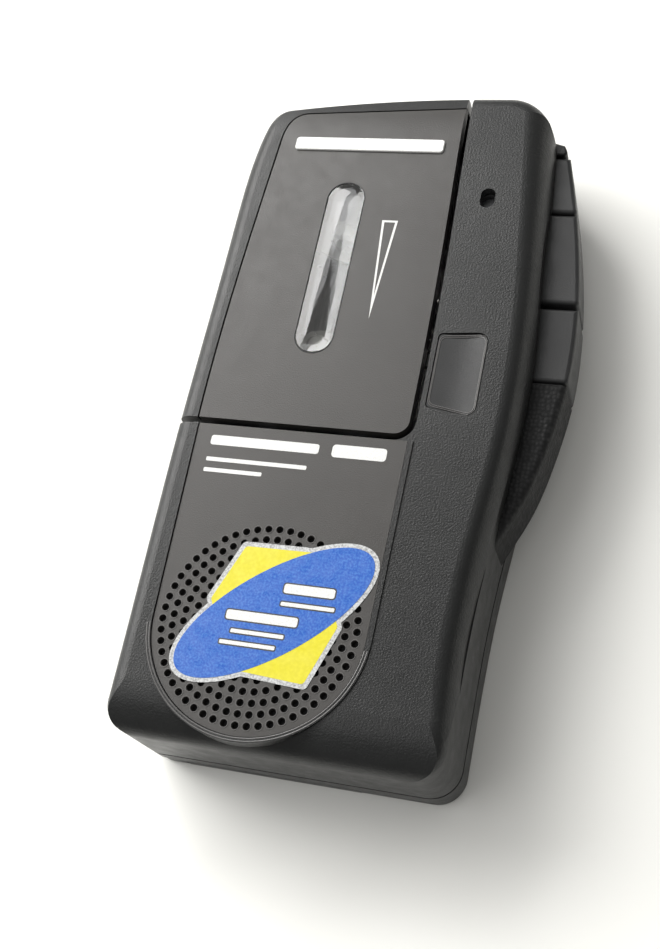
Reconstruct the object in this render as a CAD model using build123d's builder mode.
"""Handheld microcassette voice recorder, as an assembly of separate pieces.

Millimetres. +Z points out of the front face, +Y to the top end and +X to the side with the keys.
The origin is the middle of the back face, on which the recorder lies.
"""
import os

from build123d import *

os.makedirs("parts", exist_ok=True)

# Case, front half on rear half
FRONT_Z = 24.0          # front face
SEAM_Z = 6.8            # parting line of the two shells
SEAM_GROOVE = 0.35      # depth of the shadow groove along it
SEAM_GROOVE_H = 0.3     # and its height in each shell
BOTTOM_Y = -59.6
TOP_Y = 59.2
LEFT_X = -27.4
RIGHT_X = 26.7
KEY_SWELL_X = 29.3      # where the right side swells out round the keys
EDGE_R = 2.8            # rounding of the front edges
CORNER_BL_R = 4.5       # corners of the lower end, left and right
CORNER_BR_R = 5.0
# The shoulder over the keys rolls off further than the other edges. Each station along it gives
# its place, the side wall, and how far in and down the roll-off reaches.
SHOULDER = (
    (-66.0, 26.75, 3.1, 4.2),
    (-48.0, 26.8, 3.2, 4.4),
    (-20.0, 27.7, 3.4, 5.4),
    (7.0, 29.35, 3.6, 6.2),
    (24.0, 28.8, 4.1, 6.2),
    (40.0, 27.7, 4.6, 6.2),
    (52.0, 26.8, 5.0, 6.2),
    (62.0, 26.2, 5.6, 6.2),
)
ROLL_MID = 0.293        # share of its reach at which a round roll-off slopes 45 degrees
END_REACH = 8.0         # roll-off of the lower end
END_DROP = 5.0
TROUGH_DEPTH = 0.4      # shallow trough along the column, up to the shoulder's crest
TROUGH_START_X = 13.0
TROUGH_MID = 0.46       # share of its width at which it is deepest
CLEAR_X = 40.0          # cutters end well outside the case
CLEAR_Y = 70.0
CLEAR_Z = 30.0
CEILING_Z = 22.2        # underside of the front skin
FLOOR_Z = 1.6           # inside of the rear skin
INNER_LEFT_X = -25.7
INNER_RIGHT_X = 25.1
INNER_BOTTOM_Y = -58.0
INNER_TOP_Y = 57.6
NARROW_Z = 17.9         # above this the cavity is narrower, under the rolled-off edges
BAY_WALL_Z = 16.6
BOSSES = ((22.0, -54.0), (21.3, 52.6), (-23.2, -55.2), (-21.9, 51.6))
BOSS_R = 1.9
GROOVE_Z = 3.2          # groove round the rear shell
GROOVE_W = 0.6
GROOVE_INSET = 0.9
FOOT_INSET = 0.25
DOOR_X = (-20.0, 10.0)  # battery door
DOOR_TOP_Y = -3.4
DOOR_T = 1.5

# Speaker panel
GRILLE_X = -4.97
GRILLE_Y = -40.7
PANEL_R = 17.23         # round lower end of the panel
PANEL_TOP_Y = -8.0
PANEL_SPLAY = 0.75      # how much wider the panel is at its top, on the left
PANEL_LEAN = 0.25       # and on the right
PANEL_T = 1.4
PANEL_BASE_Z = FRONT_Z - PANEL_T
RIM_W = 0.95
RIM_TOP_Z = 24.25
RING_PITCH = 1.74       # ring k has 6k holes at k pitches from the middle
RING_COUNT = 9
HOLE_R = 0.57
SPEAKER_R = 16.4
LABEL_X = -2.9
LABEL_Y = -38.4
LABEL_TURN = 37.0
LABEL_HALF_L = 18.0
LABEL_HALF_W = 7.6
LABEL_CORNER_R = 0.9
LABEL_T = 0.1
LABEL_CORNERS = ((-10.3, -27.6), (2.5, -27.4), (8.3, -39.5), (4.6, -49.6), (-8.0, -48.8), (-14.3, -37.4))

# Lid
LID_BOTTOM_Y = -6.9
LID_GAP = 1.1
LID_WALL_Z = 9.4        # lower edge of the lid's side walls
SILL_Z = 9.0            # the front shell's sill below them
LID_UNDER_Z = 21.6
PLATE_T = 1.4
PLATE_BASE_Z = FRONT_Z - PLATE_T
GROOVE = 0.3            # groove round the inlay plate
WINDOW_X = -6.9
WINDOW_Y = 23.0
WINDOW_L = 33.5
WINDOW_W = 6.8
LENS_TOP_Z = 24.3
HINGE_X = -25.8
HINGE_Z = 7.9
HINGE_R = 1.1
HINGE_PIN_R = 0.5
KNUCKLE_GAP = 0.2
HINGE_START_Y = -6.6
HINGE_END_Y = 38.4
KNUCKLES = 5
KNUCKLE_L = (HINGE_END_Y - HINGE_START_Y) / KNUCKLES
SHELL_KNUCKLES = range(1, KNUCKLES, 2)
LID_KNUCKLES = range(0, KNUCKLES, 2)
LID_CORNER_R = 2.4
LID_SLOPE_Y = 49.5      # from here the lid falls towards the top end
LID_SLOPE_DROP = 1.1
NAMEPLATE_X = -4.9
NAMEPLATE_Y = 47.6
NAMEPLATE_L = 27.0
NAMEPLATE_W = 2.6
NAMEPLATE_T = 0.4
NAMEPLATE_R = 0.6

# Release button
BUTTON_CORNERS = ((14.25, -1.65), (14.25, 11.35), (22.25, 12.05), (22.25, -2.95))
BUTTON_OPENING = ((14.1, -1.8), (14.1, 11.5), (22.4, 12.2), (22.4, -3.1))
BUTTON_BASE_Z = 21.0
STEM_X = 16.6
STEM_Y = 1.9
STEM_R = 1.1
SPRING_R = 1.6          # coil springs of the button and the keys
WIRE_R = 0.2

# Keys on the right side
KEY_TOP_Z = 17.5
KEY_BOTTOM_Z = 8.2
SLOT_TOP_Z = 17.8
SLOT_BOTTOM_Z = 8.0
KEY_TRAVEL = 1.8
KEY_EDGE_R = 0.7
SLOT_START_Y = 7.1
SLOT_END_Y = 51.2
STOP_KEY = (7.4, 21.0)
PLAY_KEY = (21.9, 39.2)
RECORD_KEY = (39.5, 50.7)
FLANGE_X = 23.9
FLANGE_T = 1.0
PLUNGER_R = 1.1
PLUNGER_END_X = 19.8
BRACKET_X = 18.6
BRACKET_T = 0.8
KEY_Z = 12.6

# Tape drive, all on the chassis plate
CHASSIS_Z = 11.6
CHASSIS_T = 1.2
CHASSIS_TOP_Z = CHASSIS_Z + CHASSIS_T
CHASSIS_RIGHT_X = PLUNGER_END_X - KEY_TRAVEL - 0.3
LEGS = ((-21.5, 2.0), (15.5, 1.0), (-3.0, 50.5), (11.0, 51.0))
LEG_R = 1.5
LEG_SCREW_R = 0.6
HOLE_CLEAR = 0.1
SPINDLE_X = -8.8
SUPPLY_Y = 11.75
TAKEUP_Y = 34.25
CAPSTAN_X = 7.2
CAPSTAN_Y = 39.0
CAPSTAN_R = 0.75
FLYWHEEL_R = 10.0
MOTOR_X = -13.0
MOTOR_Y = 46.0
MOTOR_R = 7.0
PULLEY_R = 2.0
RUNNING = 0.05          # radial clearance of shafts that turn
SHAFT_R = 1.0
WHEEL_Z = 8.2           # idler and spindle wheels
WHEEL_T = 1.4
SPINDLE_WHEEL_R = 5.0
CAPSTAN_WHEEL_R = 3.0
BELT_Z = 5.2
BELT_W = 0.8
BELT_T = 0.4
BELT_SLACK = 0.15
BEARING_R = 1.8
IDLER_POST_R = 0.8
CARRIAGE_Z = CHASSIS_TOP_Z + 0.2
CARRIAGE_T = 0.6
DECK_Z = CARRIAGE_Z + CARRIAGE_T
PINCH_X = 13.4
PINCH_R = 2.3
PINCH_AXLE_R = 0.6

# Circuit board
BOARD_Z = 2.2
BOARD_T = 1.2

# Cells
CELL_R = 7.2
CELL_Z = 9.0
CELL_X = (-12.4, 2.4)
CELL_START_Y = -57.3
CELL_BODY_L = 49.1
NUB_L = 1.2
NUB_R = 2.6
SPRING_ROOM = 3.5
CONTACT_T = 0.35

# Volume dial
DIAL_X = -20.6
DIAL_Y = -17.2
DIAL_R = 7.3
DIAL_Z = 17.8
DIAL_T = 2.2

JACK_X = 16.8
MIC_JACK_Z = 18.0
EAR_JACK_Z = 11.0
JACK_BORE_R = 1.8
JACK_COLLAR_R = 2.45
POWER_JACK_Y = -40.0
POWER_JACK_Z = 12.7
MIC_X = 17.8
MIC_Y = 37.6
MIC_R = 2.9
MIC_SLOT_L = 3.8
MIC_SLOT_W = 2.5
SWITCH_Y = -26.0
SWITCH_Z = 12.0
SLIDER_Y = -29.3        # lower end of its slider
SLIDER_L = 3.0
SWITCH_TRAVEL = 3.4


def save(builder, name):
    """Label a finished piece and write its STEP file."""
    builder.part.label = name
    export_step(builder.part, f"parts/{name}.step")


def block(low, high, mode=Mode.ADD):
    """A box between two opposite corners."""
    size = [b - a for a, b in zip(low, high)]
    with Locations(low):
        Box(*size, align=(Align.MIN, Align.MIN, Align.MIN), mode=mode)


def post(x, y, low_z, high_z, radius, mode=Mode.ADD):
    """An upright round post or hole."""
    with Locations((x, y, low_z)):
        Cylinder(radius, high_z - low_z, align=(Align.CENTER, Align.CENTER, Align.MIN), mode=mode)


def lying_post(x, z, low_y, high_y, radius, mode=Mode.ADD):
    """A round post or hole that lies along Y."""
    ends = (Align.CENTER, Align.CENTER, Align.MIN)
    with Locations((x, low_y, z)):
        Cylinder(radius, high_y - low_y, rotation=(-90, 0, 0), align=ends, mode=mode)


def cross_post(y, z, low_x, high_x, radius, mode=Mode.ADD):
    """A round post or hole that lies along X."""
    ends = (Align.CENTER, Align.CENTER, Align.MIN)
    with Locations((low_x, y, z)):
        Cylinder(radius, high_x - low_x, rotation=(0, 90, 0), align=ends, mode=mode)


def case_face(inset):
    """Plan outline of the case, drawn in by a margin.

    The left side is bowed, the top end crowned, and the right side swells out round the keys.
    """
    low_y = BOTTOM_Y + inset
    right_x = RIGHT_X - inset
    high_y = TOP_Y - inset
    low_corner_y = BOTTOM_Y + CORNER_BR_R
    left_corner_y = BOTTOM_Y + CORNER_BL_R
    left_corner_x = -27.1 + inset
    rounded = (-25.7 + inset, 51.0)
    with BuildSketch() as plan:
        with BuildLine():
            Line((-22.6, low_y), (RIGHT_X - CORNER_BR_R, low_y))
            CenterArc((RIGHT_X - CORNER_BR_R, low_corner_y), CORNER_BR_R - inset, 270, 90)
            Spline(
                (right_x, low_corner_y),
                (27.1 - inset, -27),
                (KEY_SWELL_X - inset, 7),
                (27.7 - inset, 39),
                (25.4 - 0.85 * inset, 55 - 0.5 * inset),
                (18.5, high_y),
                tangents=((0, 1), (-1, 0)),
            )
            top_arc = TangentArc((18.5, high_y), (-21.3, 56.2 - inset), tangent=(-1, 0))
            Spline(
                (-21.3, 56.2 - inset),
                rounded,
                tangents=(top_arc % 1, (-0.2, -1)),
                tangent_scalars=(1.2, 1.2),
            )
            Spline(
                rounded,
                (-27.0 + inset, 28),
                (LEFT_X + inset, -8),
                (left_corner_x, left_corner_y),
                tangents=((-0.2, -1), (0, -1)),
            )
            CenterArc((-22.6, left_corner_y), CORNER_BL_R - inset, 180, 90)
        make_face()
    return plan.sketch


# Inside outline of the case
with BuildSketch() as cavity_plan:
    with BuildLine():
        Polyline((-22.5, INNER_BOTTOM_Y), (21.6, INNER_BOTTOM_Y), (INNER_RIGHT_X, -54.5))
        Polyline((INNER_RIGHT_X, -54.5), (INNER_RIGHT_X, 50.0), (20.0, INNER_TOP_Y), (-7.0, 56.6))
        Polyline((-7.0, 56.6), (-21.0, 54.4), (-24.3, 49.5), (INNER_LEFT_X, 25.0))
        Polyline((INNER_LEFT_X, 25.0), (INNER_LEFT_X, -55.0), (-22.5, INNER_BOTTOM_Y))
    make_face()


def opening_face(gap):
    """Plan of the opening for the lid, or of the lid itself, a gap smaller. It runs on past the case."""
    low_y = PANEL_TOP_Y + gap
    corner_r = LID_CORNER_R + LID_GAP - gap
    corner_x = 13.3 - gap - corner_r
    with BuildSketch() as plan:
        with BuildLine():
            Line((-35, low_y), (corner_x, low_y))
            CenterArc((corner_x, low_y + corner_r), corner_r, 270, 90)
            Spline(
                (13.3 - gap, low_y + corner_r),
                (13.2 - gap, 14.4),
                (12.8 - gap, 31.6),
                (12.2 - gap, 48.9),
                (11.9 - gap, 65),
            )
            Polyline((11.9 - gap, 65), (-35, 65), (-35, low_y))
        make_face()
    return plan.sketch


def plate_face(grow):
    """Plan of the lid's inlay plate, grown by a margin: its left groove leans in towards the top."""
    low_y = LID_BOTTOM_Y - 2
    with BuildSketch() as plan:
        with BuildLine():
            Spline((-23.3 - grow, low_y), (-23.05 - grow, 15.4), (-21.8 - grow, 40.3), (-21.3 - grow, 48.5))
            Spline(
                (-21.3 - grow, 48.5),
                (-17.6, 54.3 + grow),
                tangents=((0.07, 1), (1, 0.09)),
                tangent_scalars=(1.2, 1.2),
            )
            Polyline((-17.6, 54.3 + grow), (11.0, 56.2 + grow), (14.0, 56.2 + grow), (14.0, low_y))
            Line((14.0, low_y), (-23.3 - grow, low_y))
        make_face()
    return plan.sketch


def panel_face(grow):
    """Outline of the speaker panel, grown by a margin."""
    left_x = GRILLE_X - PANEL_R - grow
    right_x = GRILLE_X + PANEL_R + grow
    with BuildSketch() as panel_plan:
        with BuildLine():
            CenterArc((GRILLE_X, GRILLE_Y), PANEL_R + grow, 180, 180)
            Line((right_x, GRILLE_Y), (right_x + PANEL_LEAN, PANEL_TOP_Y))
            Polyline(
                (right_x + PANEL_LEAN, PANEL_TOP_Y),
                (left_x - PANEL_SPLAY, PANEL_TOP_Y),
                (left_x, GRILLE_Y),
            )
        make_face()
    return panel_plan.sketch


# Outer form of the case above the seam
with BuildPart() as case_form:
    with BuildSketch(Plane.XY.offset(SEAM_Z)):
        add(case_face(0))
    extrude(amount=FRONT_Z - SEAM_Z)
    fillet(case_form.edges().group_by(Axis.Z)[-1], EDGE_R)
    for station_y, side_x, reach, drop in SHOULDER:
        with BuildSketch(Plane.XZ.offset(-station_y)):
            with BuildLine():
                Spline(
                    (side_x - reach, FRONT_Z),
                    (side_x - reach * ROLL_MID, FRONT_Z - drop * ROLL_MID),
                    (side_x, FRONT_Z - drop),
                    tangents=((1, 0), (0, -1)),
                )
                Polyline((side_x, FRONT_Z - drop), (CLEAR_X, FRONT_Z - drop), (CLEAR_X, CLEAR_Z))
                Polyline((CLEAR_X, CLEAR_Z), (side_x - reach, CLEAR_Z), (side_x - reach, FRONT_Z))
            make_face()
    loft(mode=Mode.SUBTRACT)

# Shallow trough along the column: its left side falls to the right, its right side climbs to the crest
with BuildPart() as trough:
    for station_y, side_x, reach, drop in SHOULDER:
        crest_x = side_x - reach
        middle_x = TROUGH_START_X + TROUGH_MID * (crest_x - TROUGH_START_X)
        with BuildSketch(Plane.XZ.offset(-station_y)):
            with BuildLine():
                Spline(
                    (TROUGH_START_X, FRONT_Z),
                    (middle_x, FRONT_Z - TROUGH_DEPTH),
                    (crest_x, FRONT_Z),
                    tangents=((1, -0.1), (1, 0)),
                )
                Polyline(
                    (crest_x, FRONT_Z),
                    (crest_x, CLEAR_Z),
                    (TROUGH_START_X, CLEAR_Z),
                    (TROUGH_START_X, FRONT_Z),
                )
            make_face()
    loft()

# Roll-off of the lower end
with BuildPart() as end_cutter:
    with BuildSketch(Plane.YZ.offset(-CLEAR_X)):
        with BuildLine():
            Spline(
                (BOTTOM_Y + END_REACH, FRONT_Z),
                (BOTTOM_Y + ROLL_MID * END_REACH, FRONT_Z - ROLL_MID * END_DROP),
                (BOTTOM_Y, FRONT_Z - END_DROP),
                tangents=((-1, 0), (0, -1)),
            )
            Polyline((BOTTOM_Y, FRONT_Z - END_DROP), (-CLEAR_Y, FRONT_Z - END_DROP), (-CLEAR_Y, CLEAR_Z))
            Polyline((-CLEAR_Y, CLEAR_Z), (BOTTOM_Y + END_REACH, CLEAR_Z), (BOTTOM_Y + END_REACH, FRONT_Z))
        make_face()
    extrude(amount=2 * CLEAR_X)

with BuildPart() as seam_ring:
    with BuildSketch(Plane.XY.offset(SEAM_Z - 1)):
        add(case_face(-2))
        add(case_face(SEAM_GROOVE), mode=Mode.SUBTRACT)
    extrude(amount=1 + SEAM_GROOVE_H)

# Front shell: skin, side walls, column beside the lid, and a low sill round the lid's opening


def knuckle_span(index):
    """Low and high end of one hinge knuckle."""
    start = HINGE_START_Y + index * KNUCKLE_L
    return start + KNUCKLE_GAP / 2, start + KNUCKLE_L - KNUCKLE_GAP / 2


with BuildPart() as front_shell:
    add(case_form.part)
    add(trough.part, mode=Mode.SUBTRACT)
    add(end_cutter.part, mode=Mode.SUBTRACT)
    add(seam_ring.part, mode=Mode.SUBTRACT)
    # collar round the speaker panel, standing proud of the rounded lower end
    with BuildSketch(Plane.XY.offset(19.5)):
        add(panel_face(RIM_W))
    extrude(amount=RIM_TOP_Z - 19.5)
    with BuildSketch(Plane.XY.offset(SEAM_Z)):
        add(cavity_plan.sketch)
    extrude(amount=NARROW_Z + 0.1 - SEAM_Z, mode=Mode.SUBTRACT)
    with BuildSketch(Plane.XY.offset(NARROW_Z)):
        add(cavity_plan.sketch)
        with Locations((27.9, 0)):
            Rectangle(9, 140, mode=Mode.SUBTRACT)
        with Locations((0, 62.2)):
            Rectangle(60, 13, mode=Mode.SUBTRACT)
        with Locations((0, -60)):
            Rectangle(70, 11, mode=Mode.SUBTRACT)
    extrude(amount=CEILING_Z - NARROW_Z, mode=Mode.SUBTRACT)
    # bay end wall and column lip
    block((-25.9, PANEL_TOP_Y - 1.4, BAY_WALL_Z), (13.4, PANEL_TOP_Y - 0.2, 23.0))
    block((11.6, PANEL_TOP_Y - 1.4, 20.4), (13.9, 57.9, 22.6))
    with BuildSketch(Plane.XY.offset(NARROW_Z)):
        with Locations((GRILLE_X, GRILLE_Y)):
            Circle(SPEAKER_R)
    extrude(amount=10, mode=Mode.SUBTRACT)
    with BuildSketch(Plane.XY.offset(PANEL_BASE_Z)):
        add(panel_face(0.12))
    extrude(amount=5, mode=Mode.SUBTRACT)
    # lid opening
    with BuildSketch(Plane.XY.offset(SILL_Z)):
        add(opening_face(0))
    extrude(amount=20.3 - SILL_Z, mode=Mode.SUBTRACT)
    with BuildSketch(Plane.XY.offset(20.2)):
        add(opening_face(0))
    extrude(amount=10, mode=Mode.SUBTRACT)
    block((-35, HINGE_START_Y - 0.4, SEAM_Z - 1), (-24.5, HINGE_END_Y + 0.4, SILL_Z + 1), mode=Mode.SUBTRACT)
    # wall of the drive well, and the hinge knuckles on it
    block((-24.5, PANEL_TOP_Y - 1.4, SEAM_Z), (-23.8, 45.8, 12.4))
    for index in SHELL_KNUCKLES:
        low_y, high_y = knuckle_span(index)
        lying_post(HINGE_X, HINGE_Z, low_y, high_y, HINGE_R)
        block((HINGE_X, low_y, SEAM_Z + 0.1), (-24.4, high_y, HINGE_Z + 0.8))
    lying_post(HINGE_X, HINGE_Z, HINGE_START_Y - 1, HINGE_END_Y + 3, HINGE_PIN_R + 0.02, mode=Mode.SUBTRACT)
    # bosses for the case screws
    for boss_x, boss_y in BOSSES:
        boss_top = CEILING_Z + 0.3 if boss_x > 0 or boss_y < 0 else SILL_Z + 0.2
        post(boss_x, boss_y, SEAM_Z, boss_top, BOSS_R)
        post(boss_x, boss_y, SEAM_Z, 10.0, 0.9, mode=Mode.SUBTRACT)
    # openings for the keys, release button, microphone, volume dial, switch and sockets
    block((21.0, SLOT_START_Y, SLOT_BOTTOM_Z), (36, SLOT_END_Y, SLOT_TOP_Z), mode=Mode.SUBTRACT)
    with BuildSketch(Plane.XY.offset(20)):
        with BuildLine():
            Polyline(*BUTTON_OPENING, close=True)
        make_face()
        fillet(vertices().group_by(Axis.X)[-1], 1.8)
        fillet(vertices().group_by(Axis.X)[0], 0.7)
    extrude(amount=6, mode=Mode.SUBTRACT)
    with BuildSketch(Plane.XY.offset(20)):
        with Locations((MIC_X, MIC_Y)):
            SlotOverall(MIC_SLOT_L, MIC_SLOT_W, rotation=90)
    extrude(amount=6, mode=Mode.SUBTRACT)
    block((-30, DIAL_Y - 5.7, DIAL_Z - 0.4), (-24, DIAL_Y + 5.7, DIAL_Z + DIAL_T + 0.4), mode=Mode.SUBTRACT)
    slot_end_y = SLIDER_Y + SLIDER_L + SWITCH_TRAVEL + 0.5
    block((-30, SLIDER_Y - 0.3, SWITCH_Z - 1.1), (-24, slot_end_y, SWITCH_Z + 1.1), mode=Mode.SUBTRACT)
    for jack_z in (MIC_JACK_Z, EAR_JACK_Z):
        lying_post(JACK_X, jack_z, 55, 62, JACK_COLLAR_R + 0.1, mode=Mode.SUBTRACT)
    cross_post(POWER_JACK_Y, POWER_JACK_Z, -30, -24, 3.0, mode=Mode.SUBTRACT)
save(front_shell, "front_shell")

# Rear shell: floor, low walls with a groove round them, cell bay open at the back for the door
with BuildPart() as rear_shell:
    with BuildSketch():
        add(case_face(FOOT_INSET))
    extrude(amount=GROOVE_Z)
    fillet(rear_shell.edges().group_by(Axis.Z)[0], 0.5)
    with BuildSketch(Plane.XY.offset(GROOVE_Z)):
        add(case_face(GROOVE_INSET))
    extrude(amount=GROOVE_W)
    with BuildSketch(Plane.XY.offset(GROOVE_Z + GROOVE_W)):
        add(case_face(0))
    extrude(amount=SEAM_Z - GROOVE_Z - GROOVE_W - SEAM_GROOVE_H)
    with BuildSketch(Plane.XY.offset(SEAM_Z - SEAM_GROOVE_H)):
        add(case_face(SEAM_GROOVE))
    extrude(amount=SEAM_GROOVE_H)
    with BuildSketch(Plane.XY.offset(FLOOR_Z)):
        add(cavity_plan.sketch)
    extrude(amount=SEAM_Z, mode=Mode.SUBTRACT)
    # walls round the cells
    block((-21.3, INNER_BOTTOM_Y, 0.5), (-20.2, DOOR_TOP_Y + 1.2, 8.8))
    block((10.2, INNER_BOTTOM_Y, 0.5), (11.2, DOOR_TOP_Y + 1.2, 8.8))
    block((-21.3, DOOR_TOP_Y + 0.2, 0.5), (11.2, DOOR_TOP_Y + 1.2, 8.8))
    block((DOOR_X[0], -70, -1), (DOOR_X[1], DOOR_TOP_Y, FLOOR_Z + 0.1), mode=Mode.SUBTRACT)
    for boss_x, boss_y in BOSSES:
        post(boss_x, boss_y, 0.5, SEAM_Z - 0.1, BOSS_R + 0.5)
        post(boss_x, boss_y, -1, SEAM_Z, 1.0, mode=Mode.SUBTRACT)
        post(boss_x, boss_y, -1, 1.6, 1.85, mode=Mode.SUBTRACT)
    block((-35, HINGE_START_Y - 0.4, 6.4), (-23.8, HINGE_END_Y + 0.4, 9), mode=Mode.SUBTRACT)
save(rear_shell, "rear_shell")

with BuildPart() as battery_door:
    with BuildSketch():
        add(case_face(FOOT_INSET))
        with Locations((DOOR_X[0] + 0.15, -70)):
            width = DOOR_X[1] - DOOR_X[0] - 0.3
            Rectangle(width, 70 + DOOR_TOP_Y - 0.2, align=(Align.MIN, Align.MIN), mode=Mode.INTERSECT)
    extrude(amount=DOOR_T)
    for rib in range(5):
        block((-11, -52 + 1.6 * rib, -0.2), (1, -51.3 + 1.6 * rib, 0.4), mode=Mode.SUBTRACT)
save(battery_door, "battery_door")

# Speaker panel with its rings of holes, the dust screen under it and the label stuck on it
with BuildPart() as speaker_panel:
    with BuildSketch(Plane.XY.offset(PANEL_BASE_Z)):
        add(panel_face(0))
        with BuildSketch(mode=Mode.PRIVATE) as hole_rings:
            with Locations((GRILLE_X, GRILLE_Y)):
                Circle(HOLE_R)
                for ring in range(1, RING_COUNT + 1):
                    with PolarLocations(ring * RING_PITCH, 6 * ring, start_angle=-90):
                        Circle(HOLE_R)
        add(hole_rings.sketch, mode=Mode.SUBTRACT)
    extrude(amount=PANEL_T)
save(speaker_panel, "speaker_panel")

with BuildPart() as dust_screen:
    with BuildSketch(Plane.XY.offset(PANEL_BASE_Z - 0.3)):
        with Locations((GRILLE_X, GRILLE_Y)):
            Circle(SPEAKER_R - 0.05)
    extrude(amount=0.3)
save(dust_screen, "dust_screen")

# Lid: frame with the left wall and the top rim, inlay plate, lens and nameplate
with BuildPart() as lid_top_cutter:
    with BuildSketch(Plane.YZ.offset(-CLEAR_X)):
        with BuildLine():
            Spline((LID_SLOPE_Y, FRONT_Z), (62, FRONT_Z - 2 * LID_SLOPE_DROP), tangents=((1, 0), (1, -0.25)))
            Polyline((62, FRONT_Z - 2 * LID_SLOPE_DROP), (62, 30), (LID_SLOPE_Y, 30), (LID_SLOPE_Y, FRONT_Z))
        make_face()
    extrude(amount=2 * CLEAR_X)
with BuildPart() as lid_frame:
    add(case_form.part)
    with BuildSketch(Plane.XY.offset(LID_WALL_Z)):
        add(opening_face(LID_GAP))
    extrude(amount=20, mode=Mode.INTERSECT)
    add(lid_top_cutter.part, mode=Mode.SUBTRACT)
    with BuildSketch(Plane.XY.offset(LID_WALL_Z - 1)):
        add(cavity_plan.sketch)
        with Locations((20, -20)):
            Rectangle(80, 140)
        with Locations((-40, 0)):
            Rectangle(28.6, 200, mode=Mode.SUBTRACT)
        with Locations((0, 68)):
            Rectangle(100, 22, mode=Mode.SUBTRACT)
    extrude(amount=LID_UNDER_Z - LID_WALL_Z + 1, mode=Mode.SUBTRACT)
    for index in LID_KNUCKLES:
        low_y, high_y = knuckle_span(index)
        lying_post(HINGE_X, HINGE_Z, low_y, high_y, HINGE_R)
        block((HINGE_X - HINGE_R, low_y, HINGE_Z), (HINGE_X + 0.2, high_y, LID_WALL_Z + 0.6))
    pin_hole_r = HINGE_PIN_R + RUNNING
    lying_post(HINGE_X, HINGE_Z, HINGE_START_Y - 1, HINGE_END_Y + 1, pin_hole_r, mode=Mode.SUBTRACT)
    # recess for the inlay plate, seat for the lens, and the catch that the latch holds
    with BuildSketch(Plane.XY.offset(PLATE_BASE_Z)):
        add(plate_face(GROOVE))
    extrude(amount=4, mode=Mode.SUBTRACT)
    with BuildSketch(Plane.XY.offset(LID_UNDER_Z - 1)):
        with Locations((WINDOW_X, WINDOW_Y)):
            SlotOverall(WINDOW_L + 2.7, WINDOW_W + 2.4, rotation=90)
    extrude(amount=4, mode=Mode.SUBTRACT)
    block((10.2, 6.0, 18.4), (11.2, 12.0, LID_UNDER_Z + 0.2))
save(lid_frame, "lid_frame")

with BuildPart() as lid_plate:
    add(case_form.part)
    with BuildSketch(Plane.XY.offset(PLATE_BASE_Z)):
        add(plate_face(0))
        add(opening_face(LID_GAP + 0.02), mode=Mode.INTERSECT)
    extrude(amount=4, mode=Mode.INTERSECT)
    add(lid_top_cutter.part, mode=Mode.SUBTRACT)
    with BuildSketch(Plane.XY.offset(PLATE_BASE_Z - 1)):
        with Locations((WINDOW_X, WINDOW_Y)):
            SlotOverall(WINDOW_L, WINDOW_W, rotation=90)
    extrude(amount=4, mode=Mode.SUBTRACT)
save(lid_plate, "lid_plate")

with BuildPart() as lid_window:
    with BuildSketch(Plane.XY.offset(PLATE_BASE_Z - 0.1)):
        with Locations((WINDOW_X, WINDOW_Y)):
            SlotOverall(WINDOW_L - 0.3, WINDOW_W - 0.3, rotation=90)
    extrude(amount=LENS_TOP_Z - PLATE_BASE_Z + 0.1)
    fillet(lid_window.edges().group_by(Axis.Z)[-1], 1.2)
    with BuildSketch(Plane.XY.offset(LID_UNDER_Z + 0.1)):
        with Locations((WINDOW_X, WINDOW_Y)):
            SlotOverall(WINDOW_L + 2.5, WINDOW_W + 2.2, rotation=90)
    extrude(amount=PLATE_BASE_Z - LID_UNDER_Z - 0.15)
save(lid_window, "lid_window")

with BuildPart() as nameplate:
    with BuildSketch(Plane.XY.offset(FRONT_Z)):
        with Locations((NAMEPLATE_X, NAMEPLATE_Y)):
            RectangleRounded(NAMEPLATE_L, NAMEPLATE_W, NAMEPLATE_R)
    extrude(amount=NAMEPLATE_T)
    chamfer(nameplate.edges().group_by(Axis.Z)[-1], 0.12)
save(nameplate, "nameplate")

with BuildPart() as lid_hinge_pin:
    lying_post(HINGE_X, HINGE_Z, HINGE_START_Y, HINGE_END_Y + 1.5, HINGE_PIN_R)
save(lid_hinge_pin, "lid_hinge_pin")

# Two leaves under the lid press the cassette down; a leaf in the well lifts the lid when it is let go
with BuildPart() as cassette_leaf_spring:
    for leaf_x in (-19.0, 1.5):
        block((leaf_x, 4, LID_UNDER_Z - 0.3), (leaf_x + 3.5, 42, LID_UNDER_Z))
save(cassette_leaf_spring, "cassette_leaf_spring")

with BuildPart() as lid_lift_spring:
    block((-23.75, 14, CHASSIS_TOP_Z), (-23.45, 24, 20.8))
save(lid_lift_spring, "lid_lift_spring")

# Release button, its spring and the latch that it draws aside
with BuildPart() as release_button:
    with BuildSketch(Plane.XY.offset(BUTTON_BASE_Z)):
        with BuildLine():
            Polyline(*BUTTON_CORNERS, close=True)
        make_face()
        fillet(vertices().group_by(Axis.X)[-1], 1.7)
        fillet(vertices().group_by(Axis.X)[0], 0.6)
    extrude(amount=FRONT_Z + 0.04 - BUTTON_BASE_Z)
    fillet(release_button.edges().group_by(Axis.Z)[-1], 0.15)
    add(trough.part, mode=Mode.SUBTRACT)
    block((16.0, -3.9, 20.8), (21.0, 13.0, 21.8))
    post(STEM_X, STEM_Y, 16.0, BUTTON_BASE_Z, STEM_R)
save(release_button, "release_button")


def coil_spring(start, direction, length, radius, wire_r, turns):
    """A coil spring from its start point along a direction."""
    with BuildPart() as spring:
        with BuildLine() as path:
            Helix(length / turns, length, radius, center=start, direction=direction)
        with BuildSketch(Plane(origin=path.line @ 0, z_dir=path.line % 0)):
            Circle(wire_r)
        sweep()
    return spring


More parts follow.
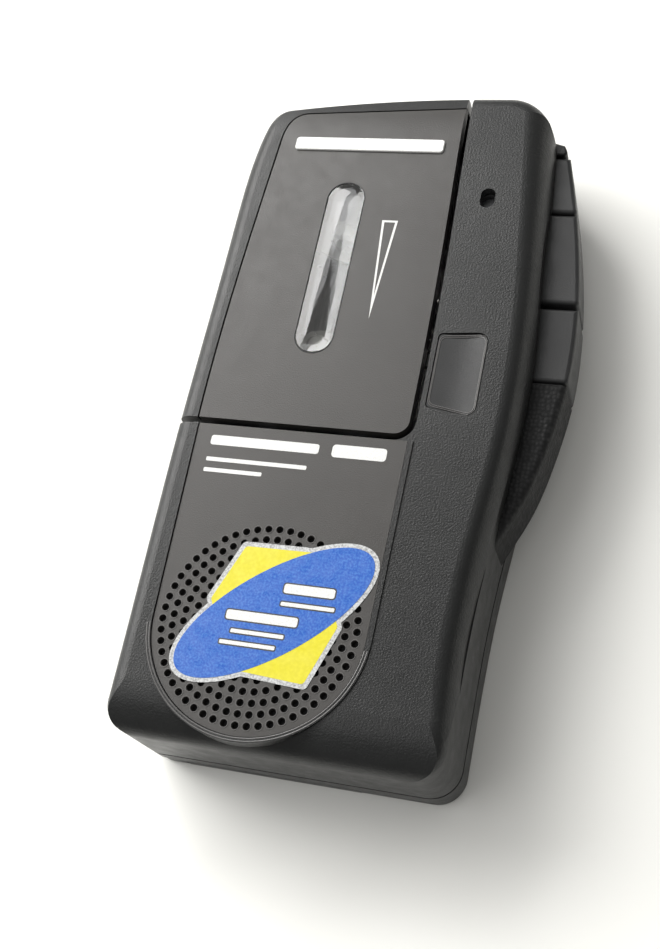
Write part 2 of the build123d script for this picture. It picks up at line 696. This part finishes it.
release_spring = coil_spring((STEM_X, STEM_Y, CHASSIS_TOP_Z + 0.3), (0, 0, 1), 7.4, SPRING_R, WIRE_R, 7)
save(release_spring, "release_spring")

with BuildPart() as lid_latch:
    block((11.4, 7.5, 18.7), (19.2, 10.5, 19.9))
    chamfer(lid_latch.edges().filter_by(Axis.Y).group_by(Axis.X)[0], 0.4)
    block((15.2, 2.9 + 1.2, 18.7), (18.0, 8.0, 19.9))
save(lid_latch, "lid_latch")

# Push keys in the long side, with the grip below them and a cap above
with BuildSketch() as side_plan:
    with BuildLine():
        Spline(
            (29.2, 51.1),
            (32.0, 39.3),
            (34.6, 22.5),
            (34.9, 8.0),
            (33.6, -2.0),
            (30.9, -13.2),
            (28.0, -20.2),
            (26.0, -25.5),
        )
        Polyline((26.0, -25.5), (FLANGE_X + FLANGE_T, -25.5), (FLANGE_X + FLANGE_T, 51.1), (29.2, 51.1))
    make_face()


def push_key(low_y, high_y):
    """A key with a retaining foot behind the case wall and a plunger for its spring."""
    middle = (low_y + high_y) / 2
    with BuildPart() as key:
        with BuildSketch(Plane.XY.offset(KEY_BOTTOM_Z)):
            add(side_plan.sketch)
            with Locations((30, middle)):
                Rectangle(20, high_y - low_y, mode=Mode.INTERSECT)
        extrude(amount=KEY_TOP_Z - KEY_BOTTOM_Z)
        fillet(key.edges().filter_by(Axis.Z).group_by(Axis.X)[-1], KEY_EDGE_R)
        fillet(key.edges().group_by(Axis.Z)[-1].sort_by(Axis.X)[1:], KEY_EDGE_R)
        block((FLANGE_X, low_y + 0.1, 7.2), (FLANGE_X + FLANGE_T, high_y - 0.6, KEY_TOP_Z))
        cross_post(middle, KEY_Z, PLUNGER_END_X, FLANGE_X + 0.2, PLUNGER_R)
    return key


KEYS = {"stop_key": STOP_KEY, "play_key": PLAY_KEY, "record_key": RECORD_KEY}
for key_name, span in KEYS.items():
    save(push_key(*span), key_name)
    spring_start = (BRACKET_X + BRACKET_T + 0.3, sum(span) / 2, KEY_Z)
    save(coil_spring(spring_start, (1, 0, 0), 3.8, SPRING_R, WIRE_R, 5), f"{key_name}_spring")

with BuildPart() as key_bracket:
    block((BRACKET_X, 6.0, CHASSIS_Z - 4), (BRACKET_X + BRACKET_T, 47.0, 16.8))
    for span in KEYS.values():
        cross_post(sum(span) / 2, KEY_Z, BRACKET_X - 1, BRACKET_X + 2, PLUNGER_R + 0.25, mode=Mode.SUBTRACT)
save(key_bracket, "key_bracket")

with BuildPart() as side_grip:
    with BuildSketch(Plane.XY.offset(KEY_BOTTOM_Z)):
        add(side_plan.sketch)
        with Locations((30, -8.0)):
            Rectangle(20, 30, mode=Mode.INTERSECT)
    extrude(amount=KEY_TOP_Z - KEY_BOTTOM_Z)
    fillet(side_grip.edges().group_by(Axis.Z)[-1].sort_by(Axis.X)[-1], 1.2)
    add(case_form.part, mode=Mode.SUBTRACT)
save(side_grip, "side_grip")

with BuildPart() as side_end_cap:
    with BuildSketch(Plane.XY.offset(KEY_BOTTOM_Z)):
        with BuildLine():
            Polyline((24, 51.3), (29.0, 51.3), (28.0, 53.3), (24, 54.5), (24, 51.3))
        make_face()
        fillet(vertices().group_by(Axis.X)[-1], 0.7)
    extrude(amount=KEY_TOP_Z - KEY_BOTTOM_Z)
    fillet(side_end_cap.edges().group_by(Axis.Z)[-1], 0.4)
    add(case_form.part, mode=Mode.SUBTRACT)
save(side_end_cap, "side_end_cap")

# Chassis plate on four legs, with the tape drive hung below it and the carriage on top
with BuildPart() as chassis_plate:
    with BuildSketch(Plane.XY.offset(CHASSIS_Z)):
        with BuildLine():
            Polyline((-23.6, -2.0), (CHASSIS_RIGHT_X, -2.0), (CHASSIS_RIGHT_X, 47.0), (13.8, 47.0))
            Polyline((13.8, 47.0), (13.8, 53.3), (-18.8, 52.8))
            Polyline((-18.8, 52.8), (-23.0, 46.5), (-23.6, -2.0))
        make_face()
    extrude(amount=CHASSIS_T)
    for leg_x, leg_y in LEGS:
        post(leg_x, leg_y, FLOOR_Z, CHASSIS_Z, LEG_R)
        post(leg_x, leg_y, 7.0, CHASSIS_TOP_Z + 1, LEG_SCREW_R, mode=Mode.SUBTRACT)
    for spindle_y in (SUPPLY_Y, TAKEUP_Y):
        post(SPINDLE_X, spindle_y, CHASSIS_Z - 1, CHASSIS_TOP_Z + 1, SHAFT_R + RUNNING, mode=Mode.SUBTRACT)
    post(CAPSTAN_X, CAPSTAN_Y, CHASSIS_Z - 1, CHASSIS_TOP_Z + 1, BEARING_R, mode=Mode.SUBTRACT)
save(chassis_plate, "chassis_plate")

with BuildPart() as chassis_screws:
    for leg_x, leg_y in LEGS:
        post(leg_x, leg_y, 7.4, CHASSIS_TOP_Z, LEG_SCREW_R)
        post(leg_x, leg_y, CHASSIS_TOP_Z, CHASSIS_TOP_Z + 0.7, 1.2)
save(chassis_screws, "chassis_screws")

with BuildPart() as head_carriage:
    block((12.2, 14.0, CARRIAGE_Z), (17.2, 43.0, DECK_Z))
    block((12.2, 30.0, DECK_Z), (17.2, 30.8, DECK_Z + 2.4))
save(head_carriage, "head_carriage")

with BuildPart() as tape_head:
    block((10.6, 20.5, DECK_Z), (15.2, 26.5, DECK_Z + 5.0))
    fillet(tape_head.edges().filter_by(Axis.Z).group_by(Axis.X)[0], 1.6)
save(tape_head, "tape_head")

with BuildPart() as erase_head:
    block((11.2, 15.2, DECK_Z), (14.6, 18.8, DECK_Z + 4.4))
    fillet(erase_head.edges().filter_by(Axis.Z).group_by(Axis.X)[0], 1.0)
save(erase_head, "erase_head")

with BuildPart() as pinch_axle:
    post(PINCH_X, CAPSTAN_Y, DECK_Z, DECK_Z + 4.0, PINCH_AXLE_R)
save(pinch_axle, "pinch_axle")

with BuildPart() as pinch_roller:
    post(PINCH_X, CAPSTAN_Y, DECK_Z + 0.3, DECK_Z + 3.7, PINCH_R)
    post(PINCH_X, CAPSTAN_Y, DECK_Z, DECK_Z + 4.0, PINCH_AXLE_R + RUNNING, mode=Mode.SUBTRACT)
    chamfer(pinch_roller.edges().group_by(Axis.Z)[-1].sort_by(SortBy.LENGTH)[-1], 0.3)
save(pinch_roller, "pinch_roller")

with BuildPart() as capstan_shaft:
    post(CAPSTAN_X, CAPSTAN_Y, 4.0, 18.4, CAPSTAN_R)
    chamfer(capstan_shaft.edges().group_by(Axis.Z)[-1], 0.2)
save(capstan_shaft, "capstan_shaft")

with BuildPart() as capstan_bearing:
    post(CAPSTAN_X, CAPSTAN_Y, 10.4, CHASSIS_TOP_Z, BEARING_R)
    post(CAPSTAN_X, CAPSTAN_Y, 10.0, CHASSIS_TOP_Z + 1, CAPSTAN_R + RUNNING, mode=Mode.SUBTRACT)
save(capstan_bearing, "capstan_bearing")

with BuildPart() as flywheel:
    post(CAPSTAN_X, CAPSTAN_Y, 4.3, 7.0, FLYWHEEL_R)
    with BuildSketch(Plane.XY.offset(BELT_Z)):
        with Locations((CAPSTAN_X, CAPSTAN_Y)):
            Circle(FLYWHEEL_R + 1)
            Circle(FLYWHEEL_R - 0.7, mode=Mode.SUBTRACT)
    extrude(amount=BELT_W, mode=Mode.SUBTRACT)
    post(CAPSTAN_X, CAPSTAN_Y, 7.0, WHEEL_Z + WHEEL_T, CAPSTAN_WHEEL_R)
    post(CAPSTAN_X, CAPSTAN_Y, 4.0, 10.0, CAPSTAN_R, mode=Mode.SUBTRACT)
save(flywheel, "flywheel")

with BuildPart() as motor_pulley:
    post(MOTOR_X, MOTOR_Y, 4.5, 6.6, PULLEY_R + 0.4)
    with BuildSketch(Plane.XY.offset(BELT_Z)):
        with Locations((MOTOR_X, MOTOR_Y)):
            Circle(PULLEY_R + 1)
            Circle(PULLEY_R - 0.3, mode=Mode.SUBTRACT)
    extrude(amount=BELT_W, mode=Mode.SUBTRACT)
    post(MOTOR_X, MOTOR_Y, 6.6, 8.4, 0.5)
save(motor_pulley, "motor_pulley")

with BuildPart() as motor:
    post(MOTOR_X, MOTOR_Y, 7.0, CHASSIS_Z, MOTOR_R)
    fillet(motor.edges(), 0.5)
    post(MOTOR_X, MOTOR_Y, 6.5, 8.6, 0.5 + RUNNING, mode=Mode.SUBTRACT)
save(motor, "motor")

with BuildPart() as drive_belt:
    with BuildSketch(Plane.XY.offset(BELT_Z + 0.15)):
        with Locations((CAPSTAN_X, CAPSTAN_Y)):
            Circle(FLYWHEEL_R - 0.7 + BELT_SLACK + BELT_T)
        with Locations((MOTOR_X, MOTOR_Y)):
            Circle(PULLEY_R - 0.3 + BELT_SLACK + BELT_T)
        make_hull()
        with BuildSketch(mode=Mode.PRIVATE) as belt_inside:
            with Locations((CAPSTAN_X, CAPSTAN_Y)):
                Circle(FLYWHEEL_R - 0.7 + BELT_SLACK)
            with Locations((MOTOR_X, MOTOR_Y)):
                Circle(PULLEY_R - 0.3 + BELT_SLACK)
            make_hull()
        add(belt_inside.sketch, mode=Mode.SUBTRACT)
    extrude(amount=BELT_W - 0.3)
save(drive_belt, "drive_belt")


def reel_spindle(spindle_y, wheel_r):
    """A splined reel spindle on its shaft, with a drive wheel below the chassis."""
    with BuildPart() as spindle:
        post(SPINDLE_X, spindle_y, WHEEL_Z, 16.2, SHAFT_R)
        post(SPINDLE_X, spindle_y, WHEEL_Z, WHEEL_Z + WHEEL_T, wheel_r)
        post(SPINDLE_X, spindle_y, CHASSIS_TOP_Z + 0.15, CHASSIS_TOP_Z + 0.7, 4.2)
        post(SPINDLE_X, spindle_y, CHASSIS_TOP_Z + 0.6, 16.8, 1.7)
        chamfer(spindle.edges().group_by(Axis.Z)[-1], 0.5)
        with Locations((SPINDLE_X, spindle_y, CHASSIS_TOP_Z + 0.6)):
            with PolarLocations(1.9, 3):
                Box(1.2, 0.8, 2.9, align=(Align.CENTER, Align.CENTER, Align.MIN))
    return spindle


save(reel_spindle(TAKEUP_Y, SPINDLE_WHEEL_R), "takeup_spindle")
save(reel_spindle(SUPPLY_Y, 2.4), "supply_spindle")

# The idler sits between the capstan's wheel and the take-up spindle's wheel
line_x = CAPSTAN_X - SPINDLE_X
line_y = CAPSTAN_Y - TAKEUP_Y
line_length = (line_x**2 + line_y**2) ** 0.5
IDLER_R = (line_length - SPINDLE_WHEEL_R - CAPSTAN_WHEEL_R) / 2
idler_share = (SPINDLE_WHEEL_R + IDLER_R) / line_length
IDLER_X = SPINDLE_X + line_x * idler_share
IDLER_Y = TAKEUP_Y + line_y * idler_share
with BuildPart() as idler_wheel:
    post(IDLER_X, IDLER_Y, WHEEL_Z, WHEEL_Z + WHEEL_T, IDLER_R - RUNNING)
    post(IDLER_X, IDLER_Y, WHEEL_Z - 1, WHEEL_Z + 3, IDLER_POST_R + RUNNING, mode=Mode.SUBTRACT)
save(idler_wheel, "idler_wheel")

with BuildPart() as idler_post:
    post(IDLER_X, IDLER_Y, WHEEL_Z - 0.6, CHASSIS_Z, IDLER_POST_R)
    post(IDLER_X, IDLER_Y, WHEEL_Z - 0.8, WHEEL_Z - 0.15, 1.4)
save(idler_post, "idler_post")

# Circuit board, L-shaped beside the cells, and what stands on it
with BuildPart() as circuit_board:
    block((-23.4, -1.8, BOARD_Z), (18.2, 47.5, BOARD_Z + BOARD_T))
    block((11.7, -50.0, BOARD_Z), (24.4, -1.7, BOARD_Z + BOARD_T))
    for leg_x, leg_y in LEGS:
        post(leg_x, leg_y, 1, 5, LEG_R + HOLE_CLEAR, mode=Mode.SUBTRACT)
save(circuit_board, "circuit_board")

with BuildPart() as board_components:
    for can_y in (-14.0, -21.0, -28.0):
        post(15.2, can_y, BOARD_Z + BOARD_T, 12.0, 2.6)
    block((13.0, -44.0, BOARD_Z + BOARD_T), (20.0, -34.0, BOARD_Z + BOARD_T + 2.0))
    block((-20.0, 14.0, BOARD_Z + BOARD_T), (-12.0, 22.0, BOARD_Z + BOARD_T + 2.0))
    block((-4.0, 6.0, BOARD_Z + BOARD_T), (6.0, 12.0, BOARD_Z + BOARD_T + 2.0))
save(board_components, "board_components")

# Microphone capsule in a rubber boot behind its opening
with BuildPart() as microphone_capsule:
    post(MIC_X, MIC_Y, 18.4, 21.2, MIC_R)
save(microphone_capsule, "microphone_capsule")
with BuildPart() as microphone_boot:
    post(MIC_X, MIC_Y, 18.0, CEILING_Z - 0.05, MIC_R + 0.7)
    post(MIC_X, MIC_Y, 17.0, 21.2, MIC_R, mode=Mode.SUBTRACT)
    post(MIC_X, MIC_Y, 21.0, 23.0, 1.6, mode=Mode.SUBTRACT)
save(microphone_boot, "microphone_boot")

# Speaker: basket, magnet and paper cone
with BuildPart() as speaker_basket:
    with BuildSketch(Plane.XZ.offset(-GRILLE_Y)):
        with BuildLine():
            Polyline((GRILLE_X + 6.0, 19.3), (GRILLE_X + 8.4, 19.3), (GRILLE_X + 14.2, 21.2))
            Polyline((GRILLE_X + 14.2, 21.2), (GRILLE_X + 16.2, 21.2), (GRILLE_X + 16.2, 22.1))
            Polyline(
                (GRILLE_X + 16.2, 22.1),
                (GRILLE_X + 13.8, 22.1),
                (GRILLE_X + 7.8, 20.0),
                (GRILLE_X + 6.0, 20.0),
            )
            Line((GRILLE_X + 6.0, 20.0), (GRILLE_X + 6.0, 19.3))
        make_face()
    revolve(axis=Axis((GRILLE_X, GRILLE_Y, 0), (0, 0, 1)))
save(speaker_basket, "speaker_basket")
with BuildPart() as speaker_magnet:
    post(GRILLE_X, GRILLE_Y, 16.6, 19.3, 8.2)
    fillet(speaker_magnet.edges(), 0.3)
    post(GRILLE_X, GRILLE_Y, 19.2, 20.0, 5.8)
save(speaker_magnet, "speaker_magnet")
with BuildPart() as speaker_cone:
    with BuildSketch(Plane.XZ.offset(-GRILLE_Y)):
        with BuildLine():
            Polyline(
                (GRILLE_X, 20.3),
                (GRILLE_X + 6.0, 20.3),
                (GRILLE_X + 13.4, 22.05),
                (GRILLE_X + 13.4, 22.25),
            )
            Polyline((GRILLE_X + 13.4, 22.25), (GRILLE_X + 5.6, 20.6), (GRILLE_X, 20.6), (GRILLE_X, 20.3))
        make_face()
    revolve(axis=Axis((GRILLE_X, GRILLE_Y, 0), (0, 0, 1)))
save(speaker_cone, "speaker_cone")

# Two cells side by side, one turned round, between spring contacts and plates
with BuildPart() as battery_cells:
    first_start = CELL_START_Y - 0.3
    lying_post(CELL_X[0], CELL_Z, first_start, first_start + NUB_L, NUB_R)
    lying_post(CELL_X[0], CELL_Z, first_start + NUB_L, first_start + NUB_L + CELL_BODY_L, CELL_R)
    second_start = CELL_START_Y + SPRING_ROOM - 0.2
    lying_post(CELL_X[1], CELL_Z, second_start, second_start + CELL_BODY_L, CELL_R)
    lying_post(CELL_X[1], CELL_Z, second_start + CELL_BODY_L, second_start + CELL_BODY_L + NUB_L, NUB_R)
save(battery_cells, "battery_cells")

with BuildPart() as battery_contacts:
    block((-18.5, INNER_BOTTOM_Y, 3.0), (8.5, INNER_BOTTOM_Y + CONTACT_T, 15.0))
    for cell_x in CELL_X:
        block((cell_x - 4, DOOR_TOP_Y - 0.2, 3.0), (cell_x + 4, DOOR_TOP_Y + 0.15, 14.0))
save(battery_contacts, "battery_contacts")

with BuildPart() as battery_springs:
    spring_starts = (
        (CELL_X[0], first_start + NUB_L + CELL_BODY_L + 0.3, CELL_Z),
        (CELL_X[1], INNER_BOTTOM_Y + CONTACT_T + 0.3, CELL_Z),
    )
    for spring_start in spring_starts:
        add(coil_spring(spring_start, (0, 1, 0), SPRING_ROOM - 0.8, 3.0, 0.3, 2.5).part)
save(battery_springs, "battery_springs")

# Volume dial, standing a little out of the left side, and its control
with BuildPart() as volume_dial:
    post(DIAL_X, DIAL_Y, DIAL_Z, DIAL_Z + DIAL_T, DIAL_R)
    with Locations((DIAL_X, DIAL_Y, DIAL_Z)):
        with PolarLocations(DIAL_R + 0.2, 40):
            Cylinder(0.38, 3 * DIAL_T, mode=Mode.SUBTRACT)
    post(DIAL_X, DIAL_Y, DIAL_Z - 1, DIAL_Z + 4, SHAFT_R + RUNNING, mode=Mode.SUBTRACT)
save(volume_dial, "volume_dial")
with BuildPart() as volume_control:
    post(DIAL_X, DIAL_Y, DIAL_Z + DIAL_T + 0.2, CEILING_Z, 3.4)
    post(DIAL_X, DIAL_Y, DIAL_Z, DIAL_Z + DIAL_T + 0.3, SHAFT_R)
save(volume_control, "volume_control")

with BuildPart() as speed_switch:
    block((-27.9, SLIDER_Y, SWITCH_Z - 0.8), (-24.2, SLIDER_Y + SLIDER_L, SWITCH_Z + 0.8))
    for groove in range(3):
        groove_y = SLIDER_Y + 0.55 + 0.8 * groove
        block((-28.5, groove_y, SWITCH_Z - 2), (-27.6, groove_y + 0.3, SWITCH_Z + 2), mode=Mode.SUBTRACT)
save(speed_switch, "speed_switch")
with BuildPart() as speed_switch_body:
    block((-24.1, SWITCH_Y - 4.2, 9.6), (-21.6, SWITCH_Y + 4.2, 14.4))
save(speed_switch_body, "speed_switch_body")


def end_jack(jack_z):
    """A 3.5 mm socket in the top end, its collar flush with the wall."""
    with BuildPart() as jack:
        block((JACK_X - 2.4, 48.5, jack_z - 2.7), (JACK_X + 2.4, 55.4, jack_z + 2.7))
        lying_post(JACK_X, jack_z, 55.3, TOP_Y, JACK_COLLAR_R)
        lying_post(JACK_X, jack_z, 49.5, TOP_Y + 1, JACK_BORE_R, mode=Mode.SUBTRACT)
    return jack


save(end_jack(MIC_JACK_Z), "microphone_jack")
save(end_jack(EAR_JACK_Z), "earphone_jack")

with BuildPart() as power_jack:
    block(
        (INNER_LEFT_X + 0.1, POWER_JACK_Y - 3.6, POWER_JACK_Z - 3.6),
        (-20.2, POWER_JACK_Y + 3.6, POWER_JACK_Z + 3.6),
    )
    cross_post(POWER_JACK_Y, POWER_JACK_Z, LEFT_X + 0.1, -25.0, 2.9)
    cross_post(POWER_JACK_Y, POWER_JACK_Z, LEFT_X - 1, -20.9, JACK_BORE_R, mode=Mode.SUBTRACT)
save(power_jack, "power_jack")

with BuildPart() as case_screws:
    for boss_x, boss_y in BOSSES:
        post(boss_x, boss_y, 0.4, 1.6, 1.7)
        post(boss_x, boss_y, 1.6, 8.8, 0.88)
        block((boss_x - 1.2, boss_y - 0.2, 0.2), (boss_x + 1.2, boss_y + 0.2, 0.8), mode=Mode.SUBTRACT)
save(case_screws, "case_screws")

# Sticker on the grille: an oval over a slanted panel
with BuildPart() as front_label:
    with BuildSketch(Plane.XY.offset(FRONT_Z)):
        with BuildLine():
            Polyline(*LABEL_CORNERS, close=True)
        make_face()
        fillet(vertices(), LABEL_CORNER_R)
        with Locations(Location((LABEL_X, LABEL_Y), LABEL_TURN)):
            Ellipse(LABEL_HALF_L, LABEL_HALF_W)
    extrude(amount=LABEL_T)
save(front_label, "front_label")
